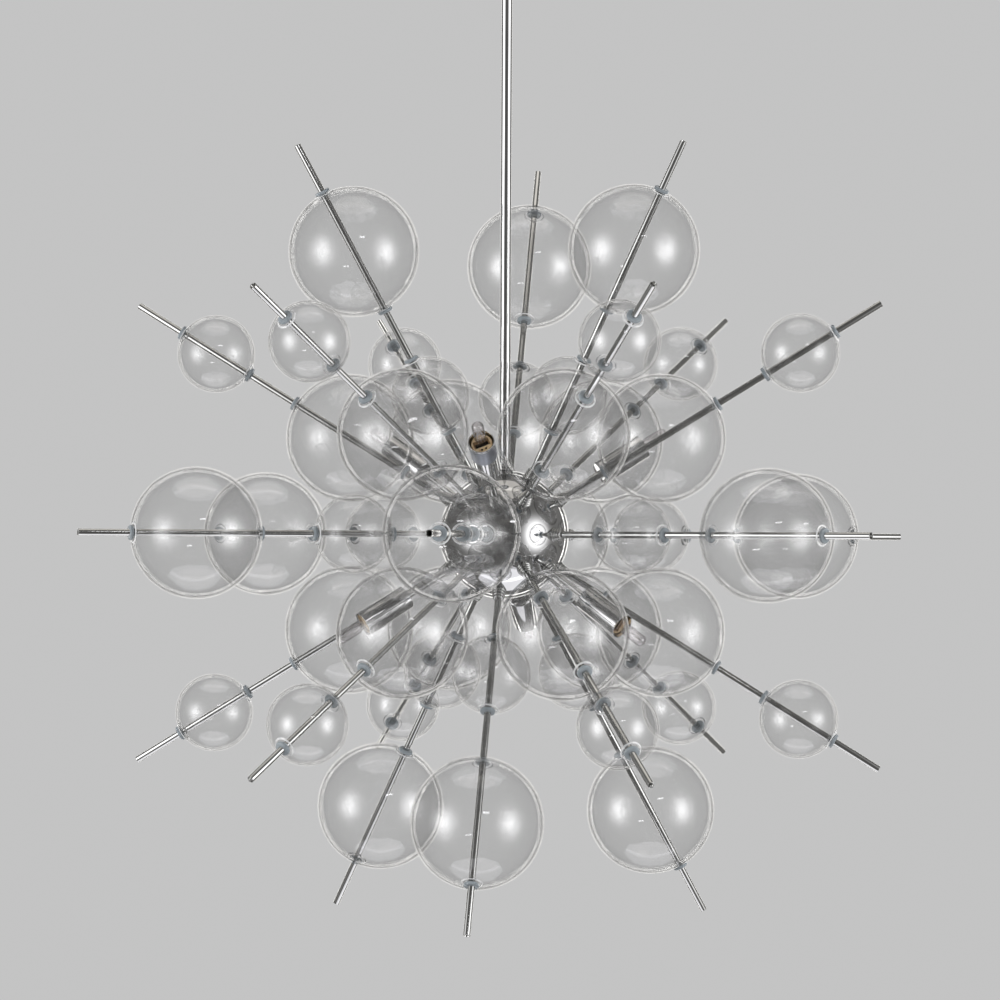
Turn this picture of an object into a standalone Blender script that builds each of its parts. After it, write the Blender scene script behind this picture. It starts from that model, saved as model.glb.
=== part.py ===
"""Sputnik chandelier: clear blown globes strung on chrome rods that radiate from a chrome ball.

It hangs from a crossbar on the ceiling. The origin is the middle of the crossbar's top face, +Z is up
and -Y is the front. A universal joint inside the canopy lets the downrod turn and hang plumb under a
ceiling that isn't level. Twenty-four rods leave the ball in five rings. Each carries a small and a large
globe between silicone stoppers, and six lamps stand among them.
"""

import math

import bmesh
import bpy
from mathutils import Matrix

MM = 0.001

# Ball in the middle
BALL_RADIUS = 75 * MM
BALL_WALL = 2.5 * MM

# Directions of the rods and lamps
FIRST_AZIMUTH = math.radians(21.2)
RODS_PER_RING = 6
UPPER_ELEVATION = math.radians(31.5)
STEEP_ELEVATION = math.radians(60)
LAMP_ELEVATION = math.radians(31)

# Rods, their root nuts, and the silicone stoppers that hold the globes
ROD_RADIUS = 4 * MM
STUD_RADIUS = 3 * MM
STUD_INSIDE = 5 * MM
NUT_PROUD = 4.7 * MM
NUT_TOP_PROUD = 2.6 * MM
NUT_LENGTH = 12 * MM
STOPPER_OVERLAP = 2.7 * MM
STOPPER_THICKNESS = 4 * MM
GLOBE_SPACING = 60 * MM
BARE_TIP = 59.5 * MM

# Blown globes, each with a hole at both poles for the rod
LARGE_GLOBE_RADIUS = 75 * MM
SMALL_GLOBE_RADIUS = 45.5 * MM
GLASS_WALL = 1.5 * MM
GLASS_HOLE_MARGIN = 2 * MM
NEIGHBOUR_CLEARANCE = 2 * MM

# Lamps: a short rod, a cup with a ceramic socket in its mouth, and a bulb
STEM_LENGTH = 65 * MM
CUP_RADIUS = 15 * MM
CUP_LENGTH = 62 * MM
CUP_WALL = 1.2 * MM
SOCKET_RECESS = 3 * MM
BULB_RADIUS = 7 * MM
BULB_LENGTH = 40 * MM

# Downrod and the collar that covers the hole in the ball's top
DOWNROD_RADIUS = 6.35 * MM
DOWNROD_LENGTH = 633 * MM
DOWNROD_STUD_RADIUS = 5 * MM
COLLAR_PROUD = 4.2 * MM
COLLAR_TOP_PROUD = 1.7 * MM
COLLAR_LENGTH = 14 * MM

# Universal joint: two clevises that rock on a cross, the upper one on a headed neck that turns
TILT_LIMIT = math.radians(20)
PIN_RADIUS = 2.5 * MM
PIN_PROUD = 0.5 * MM
EAR_MARGIN = 2.5 * MM
CLEVIS_THICKNESS = 3 * MM
SWING_CLEARANCE = 1.2 * MM
NECK_RADIUS = 4.5 * MM
HEAD_OVERHANG = 2.6 * MM
HEAD_HEIGHT = 4 * MM

# Crossbar on the ceiling, with two screw slots and the socket for the joint's head
CROSSBAR_THICKNESS = 2.5 * MM
CROSSBAR_WIDTH = 20 * MM
TAB_MARGIN = 2 * MM
SOCKET_ROOF = 1.5 * MM
SOCKET_WALL = 4 * MM
SOCKET_LIP = 6 * MM
SCREW_SLOT_OFFSET = 42 * MM
SCREW_SLOT_LENGTH = 14 * MM
SCREW_SLOT_WIDTH = 5 * MM

# Canopy, held by side screws on the crossbar's bent ends
CANOPY_RADIUS = 70 * MM
CANOPY_DEPTH = 46 * MM
CANOPY_SKIRT = 16 * MM
CANOPY_WALL = 1.2 * MM
CANOPY_RIM_DROP = 0.5 * MM

# Gaps of fixed and of turning fits, and the overrun of every cutter
FIT_GAP = 0.3 * MM
RUN_GAP = 0.2 * MM
OVERRUN = 2 * MM
MERGE_DISTANCE = 0.001 * MM

# Facets
ROD_SIDES = 6
LAMP_SIDES = 8
TURNED_SIDES = 8
LARGE_GLOBE_SIDES = 8
LARGE_GLOBE_BANDS = 4
SMALL_GLOBE_BANDS = 3
BALL_SIDES = 14
BALL_RINGS = 8
CANOPY_SIDES = 16
CANOPY_BANDS = 3
SMOOTH_ANGLE = math.radians(65)

# Radii that follow the rod or the neck, so that the pieces round it still fit when it changes
GLASS_HOLE_RADIUS = ROD_RADIUS + GLASS_HOLE_MARGIN
STOPPER_RADIUS = GLASS_HOLE_RADIUS + STOPPER_OVERLAP
HEAD_RADIUS = NECK_RADIUS + HEAD_OVERHANG


def seat_height(radius):
    """Distance from a globe's centre to the rim of the hole at its pole."""
    return math.sqrt(radius**2 - GLASS_HOLE_RADIUS**2)


def angle_between(first, second):
    """Angle between two directions, each an azimuth and an elevation."""
    first_azimuth, first_up = first
    second_azimuth, second_up = second
    level = math.cos(first_up) * math.cos(second_up) * math.cos(first_azimuth - second_azimuth)
    return math.acos(level + math.sin(first_up) * math.sin(second_up))


def rim_clear_of_globe(radius, other_radius, angle):
    """Where two innermost globes on neighbouring rods may start, measured from the ball's centre."""
    near = seat_height(radius)
    far = seat_height(other_radius)
    apart = radius + other_radius + NEIGHBOUR_CLEARANCE
    middle = (near + far) / 2
    known = near**2 + far**2 - 2 * near * far * math.cos(angle) - apart**2
    return math.sqrt(middle**2 - known / (2 * (1 - math.cos(angle)))) - middle


def rim_clear_of_lamp(radius, angle):
    """Where an innermost globe may start beside a lamp's cup, measured from the ball's centre."""
    return (radius + CUP_RADIUS + NEIGHBOUR_CLEARANCE) / math.sin(angle) - seat_height(radius)


def first_rim_distance():
    """The innermost globes sit as close to the ball as their neighbours allow."""
    half_step = math.pi / RODS_PER_RING
    upper = (half_step, UPPER_ELEVATION)
    beside_steep = angle_between(upper, (0, STEEP_ELEVATION))
    beside_level = angle_between(upper, (0, 0))
    beside_upper = angle_between(upper, (-half_step, UPPER_ELEVATION))
    beside_lamp = angle_between(upper, (0, LAMP_ELEVATION))
    return max(
        rim_clear_of_globe(LARGE_GLOBE_RADIUS, SMALL_GLOBE_RADIUS, beside_steep),
        rim_clear_of_globe(LARGE_GLOBE_RADIUS, SMALL_GLOBE_RADIUS, beside_level),
        rim_clear_of_globe(LARGE_GLOBE_RADIUS, LARGE_GLOBE_RADIUS, beside_upper),
        rim_clear_of_lamp(LARGE_GLOBE_RADIUS, beside_lamp),
    )


# Distances along every rod, from the ball's centre
SEAT = BALL_RADIUS + FIT_GAP
STUD_START = BALL_RADIUS - BALL_WALL - STUD_INSIDE
FIRST_RIM = first_rim_distance()
FIRST_STOPPER = FIRST_RIM - FIT_GAP - STOPPER_THICKNESS

# Universal joint, measured from the point where its pins cross
EAR_REACH = PIN_RADIUS + EAR_MARGIN
CROSS_HALF = EAR_REACH * (math.cos(TILT_LIMIT) + math.sin(TILT_LIMIT))
CLEVIS_INNER = CROSS_HALF + FIT_GAP
CLEVIS_OUTER = CLEVIS_INNER + CLEVIS_THICKNESS
EAR_SWEEP = CROSS_HALF * math.cos(TILT_LIMIT) + CLEVIS_OUTER * math.sin(TILT_LIMIT)
CLEVIS_DEPTH = EAR_SWEEP + SWING_CLEARANCE
CLEVIS_BASE = CLEVIS_DEPTH + CLEVIS_THICKNESS

# Depths under the ceiling
SOCKET_TOP = CROSSBAR_THICKNESS + SOCKET_ROOF
HEAD_TOP = SOCKET_TOP + FIT_GAP
HEAD_BOTTOM = HEAD_TOP + HEAD_HEIGHT
SOCKET_SHOULDER = HEAD_BOTTOM + FIT_GAP
SOCKET_BOTTOM = SOCKET_SHOULDER + SOCKET_LIP
YOKE_TOP = SOCKET_BOTTOM + FIT_GAP
PIVOT_DEPTH = YOKE_TOP + CLEVIS_BASE
DOWNROD_SEAT = CLEVIS_BASE + DOWNROD_LENGTH
BALL_DROP = DOWNROD_SEAT + FIT_GAP + BALL_RADIUS


def canopy_opening_radius():
    """The opening clears the downrod and its clevis with both tilts at their limits."""
    both_tilts = math.acos(math.cos(TILT_LIMIT) ** 2)
    below_pivot = max(CANOPY_DEPTH - PIVOT_DEPTH, CLEVIS_BASE)
    rod = below_pivot * math.tan(both_tilts) + DOWNROD_RADIUS / math.cos(both_tilts)
    base_swing = CLEVIS_BASE * math.sin(TILT_LIMIT)
    side = CLEVIS_OUTER * math.cos(TILT_LIMIT) + base_swing
    front = max(EAR_REACH, DOWNROD_RADIUS) * math.cos(TILT_LIMIT) + base_swing
    return (max(rod, math.hypot(side, front)) + SWING_CLEARANCE) / math.cos(math.pi / CANOPY_SIDES)


def remove_everything():
    for item in list(bpy.data.objects):
        bpy.data.objects.remove(item, do_unlink=True)


def principled(name, colour, metallic, roughness, transmission=0.0):
    made = bpy.data.materials.new(name)
    made.use_nodes = True
    shader = made.node_tree.nodes["Principled BSDF"]
    shader.inputs["Base Color"].default_value = (*colour, 1.0)
    shader.inputs["Metallic"].default_value = metallic
    shader.inputs["Roughness"].default_value = roughness
    shader.inputs["Transmission Weight"].default_value = transmission
    return made


def smooth(mesh):
    mesh.shade_smooth()
    mesh.set_sharp_from_angle(angle=SMOOTH_ANGLE)


def mesh_from(work, name, material):
    mesh = bpy.data.meshes.new(name)
    work.to_mesh(mesh)
    work.free()
    mesh.materials.append(material)
    smooth(mesh)
    return mesh


def turned(name, outline, sides, material, closed=False):
    """Turns an outline of (radius, height) points about Z; a closed one comes back to its start."""
    work = bmesh.new()
    corners = [work.verts.new((radius, 0, height)) for radius, height in outline]
    following = corners[1:] + corners[:1] if closed else corners[1:]
    edges = [work.edges.new(pair) for pair in zip(corners, following)]
    bmesh.ops.spin(
        work,
        geom=corners + edges,
        cent=(0, 0, 0),
        axis=(0, 0, 1),
        angle=math.tau,
        steps=sides,
        use_merge=True,
    )
    bmesh.ops.remove_doubles(work, verts=work.verts, dist=MERGE_DISTANCE)
    bmesh.ops.recalc_face_normals(work, faces=work.faces)
    return mesh_from(work, name, material)


def pushed(corners, distance):
    """Pushes an outline of corners through a distance, and gives the solid as a bmesh."""
    work = bmesh.new()
    face = work.faces.new([work.verts.new(corner) for corner in corners])
    sides = bmesh.ops.extrude_face_region(work, geom=[face])["geom"]
    moved = [item for item in sides if isinstance(item, bmesh.types.BMVert)]
    bmesh.ops.translate(work, verts=moved, vec=distance)
    bmesh.ops.recalc_face_normals(work, faces=work.faces)
    return work


def arc(radius, centre, start, end, bands):
    """Points on a globe's section; angles count from the pole nearer the ball."""
    angles = [start + (end - start) * band / bands for band in range(bands + 1)]
    return [(radius * math.sin(angle), centre - radius * math.cos(angle)) for angle in angles]


def add(name, mesh, parent=None, location=(0, 0, 0), rotation=(0, 0, 0)):
    made = bpy.data.objects.new(name, mesh)
    bpy.context.collection.objects.link(made)
    made.location = location
    made.rotation_euler = rotation
    made.parent = parent
    return made


def combine(target, tool_mesh, operation, placement=None):
    """Joins a tool shape to an object, or cuts it out of the object."""
    tool = add("tool", tool_mesh)
    if placement:
        tool.matrix_world = placement
    change = target.modifiers.new("combine", "BOOLEAN")
    change.operation = operation
    change.solver = "EXACT"
    change.object = tool
    bpy.context.view_layer.update()
    ready = target.evaluated_get(bpy.context.evaluated_depsgraph_get())
    result = bpy.data.meshes.new_from_object(ready)
    target.modifiers.clear()
    target.data = result
    bpy.data.objects.remove(tool, do_unlink=True)
    smooth(result)


def towards(azimuth, elevation):
    """Rotation that turns +Z to an azimuth and an elevation."""
    return (0, math.pi / 2 - elevation, azimuth)


def hole_radius(pin_radius, gap, sides):
    """Radius of a faceted hole whose flats clear a round pin by the gap."""
    return (pin_radius + gap) / math.cos(math.pi / sides)


# Rods and globes


def rings():
    """Each ring of rods: its name, elevation, azimuths, and if its small globes are the inner ones."""
    step = math.tau / RODS_PER_RING
    level = [FIRST_AZIMUTH + step * index for index in range(RODS_PER_RING)]
    between = [azimuth + step / 2 for azimuth in level]
    return [
        ("top", STEEP_ELEVATION, level[1::2], True),
        ("upper", UPPER_ELEVATION, between, False),
        ("level", 0, level, True),
        ("lower", -UPPER_ELEVATION, between, False),
        ("bottom", -STEEP_ELEVATION, level[0::2], True),
    ]


def lamp_directions():
    """Lamps stand over and under the level rods by turns."""
    step = math.tau / RODS_PER_RING
    sides = [1 if index % 2 == 0 else -1 for index in range(RODS_PER_RING)]
    return [(FIRST_AZIMUTH + step * index, side * LAMP_ELEVATION) for index, side in enumerate(sides)]


def globe_length(radius):
    """Length of rod between a globe's two stoppers."""
    return 2 * (FIT_GAP + seat_height(radius))


def stopper_starts(inner_radius, outer_radius):
    """Distances from the ball's centre at which a rod's four stoppers start."""
    second = FIRST_STOPPER + STOPPER_THICKNESS + globe_length(inner_radius)
    third = second + STOPPER_THICKNESS + GLOBE_SPACING
    fourth = third + STOPPER_THICKNESS + globe_length(outer_radius)
    return FIRST_STOPPER, second, third, fourth


def globe_centre(stopper_start, radius):
    return stopper_start + STOPPER_THICKNESS + FIT_GAP + seat_height(radius)


def root_points():
    """Threaded stud in the ball's wall, and the nut that covers its hole."""
    return [
        (0, STUD_START),
        (STUD_RADIUS, STUD_START),
        (STUD_RADIUS, SEAT),
        (ROD_RADIUS + NUT_PROUD, SEAT),
        (ROD_RADIUS + NUT_TOP_PROUD, SEAT + NUT_LENGTH),
        (ROD_RADIUS, SEAT + NUT_LENGTH),
    ]


def stopper_points(start):
    end = start + STOPPER_THICKNESS
    return [(ROD_RADIUS, start), (STOPPER_RADIUS, start), (STOPPER_RADIUS, end), (ROD_RADIUS, end)]


def small_globe_points(stopper_start):
    """A small globe grown on its stopper: out over the glass, round the far rim and back inside."""
    outside = SMALL_GLOBE_RADIUS
    inside = outside - GLASS_WALL
    centre = globe_centre(stopper_start, outside)
    far_rim = math.pi - math.asin(GLASS_HOLE_RADIUS / outside)
    far_inner_rim = math.pi - math.asin(GLASS_HOLE_RADIUS / inside)
    outer = arc(outside, centre, math.asin(STOPPER_RADIUS / outside), far_rim, SMALL_GLOBE_BANDS)
    inner = arc(inside, centre, far_inner_rim, math.asin(ROD_RADIUS / inside), SMALL_GLOBE_BANDS)
    return [(ROD_RADIUS, stopper_start), (STOPPER_RADIUS, stopper_start)] + outer + inner


def rod_outline(inner_radius, outer_radius):
    """Section of a whole rod, with its nut, its four stoppers and its small globe."""
    first, second, third, fourth = stopper_starts(inner_radius, outer_radius)
    if inner_radius == SMALL_GLOBE_RADIUS:
        middle = small_globe_points(first) + stopper_points(second) + stopper_points(third)
    else:
        middle = stopper_points(first) + stopper_points(second) + small_globe_points(third)
    tip = fourth + STOPPER_THICKNESS + BARE_TIP
    return root_points() + middle + stopper_points(fourth) + [(ROD_RADIUS, tip), (0, tip)]


def large_globe_outline(stopper_start):
    """Section of a large globe's wall, open at both poles."""
    outside = LARGE_GLOBE_RADIUS
    inside = outside - GLASS_WALL
    centre = globe_centre(stopper_start, outside)
    rim = math.asin(GLASS_HOLE_RADIUS / outside)
    inner_rim = math.asin(GLASS_HOLE_RADIUS / inside)
    outer = arc(outside, centre, rim, math.pi - rim, LARGE_GLOBE_BANDS)
    return outer + arc(inside, centre, math.pi - inner_rim, inner_rim, LARGE_GLOBE_BANDS)


def paint_rod(mesh, silicone, glass):
    """The small globe is glass and the stoppers are silicone; the rod and its nut stay chrome."""
    mesh.materials.append(silicone)
    mesh.materials.append(glass)
    for face in mesh.polygons:
        from_axis = face.center.xy.length
        if from_axis > STOPPER_RADIUS:
            face.material_index = 2
        elif from_axis > ROD_RADIUS and face.center.z > SEAT + NUT_LENGTH:
            face.material_index = 1


def build_rods(parent, centre, chrome, silicone, glass):
    """Two kinds of rod: with the small globe near the ball, or with the large one there."""
    rods = {}
    globes = {}
    orders = {
        True: (SMALL_GLOBE_RADIUS, LARGE_GLOBE_RADIUS),
        False: (LARGE_GLOBE_RADIUS, SMALL_GLOBE_RADIUS),
    }
    for small_inside, radii in orders.items():
        rods[small_inside] = turned("globe_rod", rod_outline(*radii), ROD_SIDES, chrome)
        paint_rod(rods[small_inside], silicone, glass)
        first, _, third, _ = stopper_starts(*radii)
        outline = large_globe_outline(third if small_inside else first)
        globes[small_inside] = turned("large_globe", outline, LARGE_GLOBE_SIDES, glass, closed=True)
    for ring, elevation, azimuths, small_inside in rings():
        for number, azimuth in enumerate(azimuths, start=1):
            turn = towards(azimuth, elevation)
            add(f"globe_rod_{ring}_{number}", rods[small_inside], parent, centre, turn)
            add(f"large_globe_{ring}_{number}", globes[small_inside], parent, centre, turn)


# Lamps


def lamp_outline():
    base = BALL_RADIUS + STEM_LENGTH
    mouth = base + CUP_LENGTH
    socket = mouth - SOCKET_RECESS
    tip = socket + BULB_LENGTH
    shoulder = tip - BULB_RADIUS
    slope = math.pi / 4
    return root_points() + [
        (ROD_RADIUS, base),
        (CUP_RADIUS, base),
        (CUP_RADIUS, mouth),
        (CUP_RADIUS - CUP_WALL, mouth),
        (CUP_RADIUS - CUP_WALL, socket),
        (BULB_RADIUS, socket),
        (BULB_RADIUS, shoulder),
        (BULB_RADIUS * math.cos(slope), shoulder + BULB_RADIUS * math.sin(slope)),
        (0, tip),
    ]


def build_lamps(parent, centre, chrome):
    mesh = turned("lamp", lamp_outline(), LAMP_SIDES, chrome)
    for index, (azimuth, elevation) in enumerate(lamp_directions()):
        side = "upper" if elevation > 0 else "lower"
        add(f"lamp_{side}_{index // 2 + 1}", mesh, parent, centre, towards(azimuth, elevation))


# Ball


def add_drill(work, radius, turn):
    """Adds the cutter of one hole, from inside the ball out along the turned Z axis."""
    low = BALL_RADIUS / 2
    high = BALL_RADIUS + OVERRUN
    wide = hole_radius(radius, FIT_GAP, ROD_SIDES)
    around = Matrix.Rotation(turn[2], 4, "Z") @ Matrix.Rotation(turn[1], 4, "Y")
    bmesh.ops.create_cone(
        work,
        cap_ends=True,
        segments=ROD_SIDES,
        radius1=wide,
        radius2=wide,
        depth=high - low,
        matrix=around @ Matrix.Translation((0, 0, (low + high) / 2)),
    )


def build_ball(parent, centre, chrome):
    """A hollow ball, drilled for each rod, each lamp and the downrod."""
    shell = bmesh.new()
    for radius in (BALL_RADIUS, BALL_RADIUS - BALL_WALL):
        bmesh.ops.create_uvsphere(
            shell, u_segments=BALL_SIDES, v_segments=BALL_RINGS, radius=radius
        )
    between = BALL_RADIUS - BALL_WALL / 2
    inner = [face for face in shell.faces if max(corner.co.length for corner in face.verts) < between]
    bmesh.ops.reverse_faces(shell, faces=inner)
    ball = add("hub_ball", mesh_from(shell, "hub_ball", chrome))
    directions = [(azimuth, up) for _, up, azimuths, _ in rings() for azimuth in azimuths]
    drills = bmesh.new()
    for direction in directions + lamp_directions():
        add_drill(drills, STUD_RADIUS, towards(*direction))
    add_drill(drills, DOWNROD_STUD_RADIUS, (0, 0, 0))
    combine(ball, mesh_from(drills, "drills", chrome), "DIFFERENCE")
    ball.parent = parent
    ball.location = centre


# Universal joint and downrod


def add_clevis(name, material):
    """A U that opens towards -Z, with chamfered ears and a pin hole along X through the origin."""
    outline = [
        (CLEVIS_INNER, -EAR_REACH),
        (CLEVIS_OUTER, -EAR_REACH),
        (CLEVIS_OUTER, CLEVIS_BASE),
        (-CLEVIS_OUTER, CLEVIS_BASE),
        (-CLEVIS_OUTER, -EAR_REACH),
        (-CLEVIS_INNER, -EAR_REACH),
        (-CLEVIS_INNER, CLEVIS_DEPTH),
        (CLEVIS_INNER, CLEVIS_DEPTH),
    ]
    work = pushed([(x, -EAR_REACH, z) for x, z in outline], (0, 2 * EAR_REACH, 0))
    ends = []
    for edge in work.edges:
        first, second = (corner.co for corner in edge.verts)
        if max(first.z, second.z) < 0 and abs(first.x - second.x) > abs(first.y - second.y):
            ends.append(edge)
    bmesh.ops.bevel(work, geom=ends, offset=EAR_MARGIN, segments=1, affect="EDGES")
    clevis = add(name, mesh_from(work, name, material))
    reach = CLEVIS_OUTER + OVERRUN
    bore = hole_radius(PIN_RADIUS, RUN_GAP, TURNED_SIDES)
    outline = [(0, -reach), (bore, -reach), (bore, reach), (0, reach)]
    across = Matrix.Rotation(math.pi / 2, 4, "Y")
    combine(clevis, turned("bore", outline, TURNED_SIDES, material), "DIFFERENCE", across)
    return clevis


def build_yoke(parent, steel):
    """Upper clevis, with the headed neck that turns in the crossbar's socket."""
    yoke = add_clevis("swivel_yoke", steel)
    neck = [
        (0, CLEVIS_BASE - CLEVIS_THICKNESS / 2),
        (NECK_RADIUS, CLEVIS_BASE - CLEVIS_THICKNESS / 2),
        (NECK_RADIUS, PIVOT_DEPTH - HEAD_BOTTOM),
        (HEAD_RADIUS, PIVOT_DEPTH - HEAD_BOTTOM),
        (HEAD_RADIUS, PIVOT_DEPTH - HEAD_TOP),
        (0, PIVOT_DEPTH - HEAD_TOP),
    ]
    combine(yoke, turned("neck", neck, TURNED_SIDES, steel), "UNION")
    yoke.parent = parent


def build_cross(parent, steel):
    """Block with two crossed pins, one for each clevis."""
    work = bmesh.new()
    bmesh.ops.create_cube(work, size=2 * CROSS_HALF)
    cross = add("swivel_cross", mesh_from(work, "swivel_cross", steel))
    reach = CLEVIS_OUTER + PIN_PROUD
    pin = [(0, -reach), (PIN_RADIUS, -reach), (PIN_RADIUS, reach), (0, reach)]
    for axis in ("X", "Y"):
        across = Matrix.Rotation(math.pi / 2, 4, axis)
        combine(cross, turned("pin", pin, TURNED_SIDES, steel), "UNION", across)
    cross.parent = parent


def build_downrod(parent, chrome):
    """Lower clevis, the rod, and the collar and stud on the rod's lower end."""
    downrod = add_clevis("downrod", chrome)
    downrod.data.transform(Matrix.Rotation(math.pi / 2, 4, "Z") @ Matrix.Rotation(math.pi, 4, "X"))
    stud_end = DOWNROD_SEAT + FIT_GAP + BALL_WALL + STUD_INSIDE
    outline = [
        (0, CLEVIS_THICKNESS / 2 - CLEVIS_BASE),
        (DOWNROD_RADIUS, CLEVIS_THICKNESS / 2 - CLEVIS_BASE),
        (DOWNROD_RADIUS, COLLAR_LENGTH - DOWNROD_SEAT),
        (DOWNROD_RADIUS + COLLAR_TOP_PROUD, COLLAR_LENGTH - DOWNROD_SEAT),
        (DOWNROD_RADIUS + COLLAR_PROUD, -DOWNROD_SEAT),
        (DOWNROD_STUD_RADIUS, -DOWNROD_SEAT),
        (DOWNROD_STUD_RADIUS, -stud_end),
        (0, -stud_end),
    ]
    combine(downrod, turned("rod", outline, TURNED_SIDES, chrome), "UNION")
    downrod.parent = parent


# Crossbar and canopy


def screw_slot(material):
    """Cutter for one ceiling screw: a slot along X with round ends."""
    radius = SCREW_SLOT_WIDTH / 2
    straight = SCREW_SLOT_LENGTH / 2 - radius
    low = CROSSBAR_THICKNESS + OVERRUN
    corners = []
    for side in (1, -1):
        for turn in (-math.pi / 2, -math.pi / 6, math.pi / 6, math.pi / 2):
            across = straight + radius * math.cos(turn)
            corners.append((side * across, side * radius * math.sin(turn), -low))
    return mesh_from(pushed(corners, (0, 0, low + OVERRUN)), "screw_slot", material)


def build_crossbar(steel):
    """Strip with bent ends, two screw slots, and the swivel's socket under its middle."""
    inside = (CANOPY_RADIUS - CANOPY_WALL) * math.cos(math.pi / CANOPY_SIDES) - FIT_GAP
    half_width = CROSSBAR_WIDTH / 2
    end = math.sqrt(inside**2 - half_width**2)
    foot = end - CROSSBAR_THICKNESS
    tab = CANOPY_SKIRT - TAB_MARGIN
    outline = [
        (-end, 0),
        (end, 0),
        (end, -tab),
        (foot, -tab),
        (foot, -CROSSBAR_THICKNESS),
        (-foot, -CROSSBAR_THICKNESS),
        (-foot, -tab),
        (-end, -tab),
    ]
    strip = pushed([(x, -half_width, z) for x, z in outline], (0, CROSSBAR_WIDTH, 0))
    bar = add("ceiling_crossbar", mesh_from(strip, "ceiling_crossbar", steel))
    chamber = hole_radius(HEAD_RADIUS, FIT_GAP, TURNED_SIDES)
    throat = hole_radius(NECK_RADIUS, FIT_GAP, TURNED_SIDES)
    socket = [
        (0, -CROSSBAR_THICKNESS / 2),
        (chamber + SOCKET_WALL, -CROSSBAR_THICKNESS / 2),
        (chamber + SOCKET_WALL, -SOCKET_BOTTOM),
        (throat, -SOCKET_BOTTOM),
        (throat, -SOCKET_SHOULDER),
        (chamber, -SOCKET_SHOULDER),
        (chamber, -SOCKET_TOP),
        (0, -SOCKET_TOP),
    ]
    combine(bar, turned("socket", socket, TURNED_SIDES, steel), "UNION")
    for side in (-1, 1):
        place = Matrix.Translation((side * SCREW_SLOT_OFFSET, 0, 0))
        combine(bar, screw_slot(steel), "DIFFERENCE", place)


def bell(radius, depth, opening):
    """Section of one side of the canopy: a straight skirt, then a quarter ellipse to the opening."""
    points = [(radius, -CANOPY_RIM_DROP)]
    for band in range(CANOPY_BANDS + 1):
        angle = math.pi / 2 * band / CANOPY_BANDS
        across = opening + (radius - opening) * math.cos(angle)
        points.append((across, -CANOPY_SKIRT - (depth - CANOPY_SKIRT) * math.sin(angle)))
    return points


def build_canopy(chrome):
    opening = canopy_opening_radius()
    outer = bell(CANOPY_RADIUS, CANOPY_DEPTH, opening)
    inner = bell(CANOPY_RADIUS - CANOPY_WALL, CANOPY_DEPTH - CANOPY_WALL, opening)
    add("canopy", turned("canopy", outer + inner[::-1], CANOPY_SIDES, chrome, closed=True))


def main():
    remove_everything()
    chrome = principled("polished_chrome", (0.86, 0.86, 0.88), 1.0, 0.06)
    steel = principled("zinc_plated_steel", (0.62, 0.63, 0.64), 1.0, 0.35)
    silicone = principled("silicone", (0.62, 0.63, 0.63), 0.0, 0.35, 0.4)
    glass = principled("clear_glass", (1.0, 1.0, 1.0), 0.0, 0.0, 1.0)

    turn_axis = add("turn_axis", None, location=(0, 0, -PIVOT_DEPTH))
    rock_axis = add("rock_axis", None, turn_axis)
    sway_axis = add("sway_axis", None, rock_axis)
    ball_centre = (0, 0, -BALL_DROP)

    build_crossbar(steel)
    build_canopy(chrome)
    build_yoke(turn_axis, steel)
    build_cross(rock_axis, steel)
    build_downrod(sway_axis, chrome)
    build_ball(sway_axis, ball_centre, chrome)
    build_rods(sway_axis, ball_centre, chrome, silicone, glass)
    build_lamps(sway_axis, ball_centre, chrome)
    bpy.context.view_layer.update()


main()
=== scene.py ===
"""Looks of the sputnik chandelier: clear blown globes on chrome rods round a chrome ball.

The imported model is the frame. Its turned solids are replaced here by the smooth separate pieces that they
stand for: tube, root nut, stoppers and globes on each rod, and the parts of each lamp. The crossbar and the
swivel's yoke and cross stay as solids and get a finish. The camera stands where the photograph's did.
"""

import math

import bmesh
import bpy
from mathutils import Matrix, Vector


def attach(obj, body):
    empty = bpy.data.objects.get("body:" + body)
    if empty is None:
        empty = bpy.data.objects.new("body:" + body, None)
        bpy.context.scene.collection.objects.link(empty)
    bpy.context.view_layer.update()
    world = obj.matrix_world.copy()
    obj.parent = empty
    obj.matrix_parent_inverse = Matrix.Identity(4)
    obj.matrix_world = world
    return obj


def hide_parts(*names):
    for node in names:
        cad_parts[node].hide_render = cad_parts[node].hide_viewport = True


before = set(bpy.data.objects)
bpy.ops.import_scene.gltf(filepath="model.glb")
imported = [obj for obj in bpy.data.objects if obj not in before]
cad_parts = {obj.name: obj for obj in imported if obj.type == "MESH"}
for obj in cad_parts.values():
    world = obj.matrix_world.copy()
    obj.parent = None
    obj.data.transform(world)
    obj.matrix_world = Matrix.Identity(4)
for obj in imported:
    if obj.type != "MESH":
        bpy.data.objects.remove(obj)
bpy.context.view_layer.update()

MM = 0.001

# Points of a turned mesh that are nearer than this are one point
MERGE_DISTANCE = 0.000002

# Ball
BALL_CENTRE = Vector((0, 0, -750.285 * MM))
BALL_RADIUS = 75 * MM
BALL_WALL = 2.5 * MM
BALL_HOLE_RADIUS = 5.3 * MM
BALL_BANDS = 72
BALL_SIDES = 128
LINING_BANDS = 24
LINING_SIDES = 64

# Layout of the rods and lamps round the ball, in degrees
RODS_PER_RING = 6
AZIMUTH_STEP = 360 / RODS_PER_RING
FIRST_AZIMUTH = 21.2
UPPER_ELEVATION = 31.5
STEEP_ELEVATION = 60
LAMP_ELEVATION = 31

# Rods, as distances from the ball's centre
ROD_RADIUS = 4 * MM
ROD_BORE = 3.1 * MM
ROD_BORE_DEPTH = 60 * MM
ROD_START = 74.7 * MM
ROD_TIP = 511.6 * MM
ROD_SIDES = 32
EDGE = 0.3 * MM

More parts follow.
